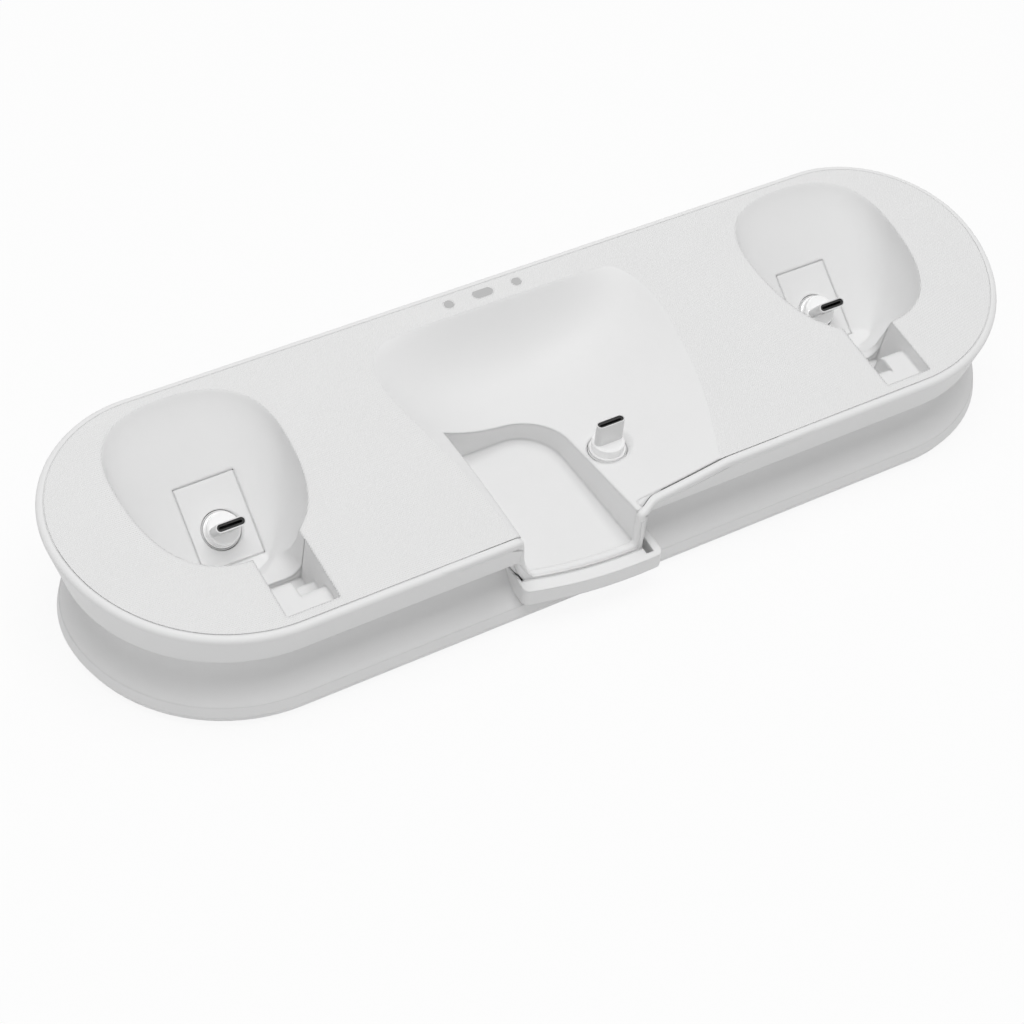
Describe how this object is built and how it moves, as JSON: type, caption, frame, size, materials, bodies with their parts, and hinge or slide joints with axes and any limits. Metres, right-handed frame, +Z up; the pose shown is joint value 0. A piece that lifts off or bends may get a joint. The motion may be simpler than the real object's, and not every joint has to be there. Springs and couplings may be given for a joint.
{
  "type": "headset and controller charging dock",
  "caption": "Long racetrack charging dock with a sloping top, a headset seat with a front trough, two scooped controller cradles and upright USB-C tips on polished discs.",
  "frame": {"origin": "on the resting plane under the middle of the foot's outline", "axes": "+X along the dock's length to the right, +Y to the back, +Z up; the front with the trough and lip faces -Y"},
  "size_m": [0.2836, 0.0877, 0.0423],
  "materials": {
    "shell_white": "fine matte",
    "cover_white": "fine woven texture with smooth hollows",
    "disc_metal": "polished",
    "plug_metal": "satin",
    "plug_black": "matte",
    "socket_black": "matte",
    "magnet_metal": "plated",
    "contact_gold": "plated",
    "soft_ring": "soft",
    "window_grey": "translucent",
    "board_green": "solder mask",
    "screw_steel": "plain",
    "foot_rubber": "matte"
  },
  "bodies": {
    "dock": {"base_pedestal": "shell_white", "base_screws": "screw_steel", "board_chips": "plug_black", "board_screws": "screw_steel", "bottom_plate": "shell_white", "centre_socket_grommet": "soft_ring", "led_chips": "window_grey", "left_insert_panel": "shell_white", "left_socket_grommet": "soft_ring", "light_board": "board_green", "main_board": "board_green", "oval_status_window": "window_grey", "right_insert_panel": "shell_white", "right_socket_grommet": "soft_ring", "rim_housing": "shell_white", "round_status_windows": "window_grey", "rubber_feet": "foot_rubber", "top_cover": "cover_white", "usb_inlet_shell": "plug_metal", "usb_inlet_tongue": "plug_black"},
    "left_socket": {"left_socket_body": "socket_black", "left_socket_magnet": "magnet_metal", "left_pogo_pins": "contact_gold"},
    "left_tip": {"left_tip_disc": "disc_metal", "left_plug_shell": "plug_metal", "left_plug_liner": "plug_black"},
    "centre_socket": {"centre_socket_body": "socket_black", "centre_socket_magnet": "magnet_metal", "centre_pogo_pins": "contact_gold"},
    "centre_tip": {"centre_tip_disc": "disc_metal", "centre_plug_shell": "plug_metal", "centre_plug_liner": "plug_black"},
    "right_socket": {"right_socket_body": "socket_black", "right_socket_magnet": "magnet_metal", "right_pogo_pins": "contact_gold"},
    "right_tip": {"right_tip_disc": "disc_metal", "right_plug_shell": "plug_metal", "right_plug_liner": "plug_black"}
  },
  "joints": [
    {"name": "left_socket_tilt", "type": "hinge", "parent": "dock", "child": "left_socket", "pos_m": [-0.0942, 0.01196, 0.01494], "axis": [1, 0, 0], "range_deg": [-2, 2], "stiffness_Nm_per_rad": 0.4},
    {"name": "left_tip_lift", "type": "slide", "parent": "left_socket", "child": "left_tip", "axis": [0, -0.6115, 0.7912], "range_m": [0, 0.02]},
    {"name": "centre_socket_tilt", "type": "hinge", "parent": "dock", "child": "centre_socket", "pos_m": [0.0059, -0.01696, 0.02203], "axis": [1, 0, 0], "range_deg": [-2, 2], "stiffness_Nm_per_rad": 0.4},
    {"name": "centre_tip_lift", "type": "slide", "parent": "centre_socket", "child": "centre_tip", "axis": [0, 0, 1], "range_m": [0, 0.02]},
    {"name": "right_socket_tilt", "type": "hinge", "parent": "dock", "child": "right_socket", "pos_m": [0.0942, 0.01196, 0.01494], "axis": [1, 0, 0], "range_deg": [-2, 2], "stiffness_Nm_per_rad": 0.4},
    {"name": "right_tip_lift", "type": "slide", "parent": "right_socket", "child": "right_tip", "axis": [0, -0.6115, 0.7912], "range_m": [0, 0.02]}
  ]
}
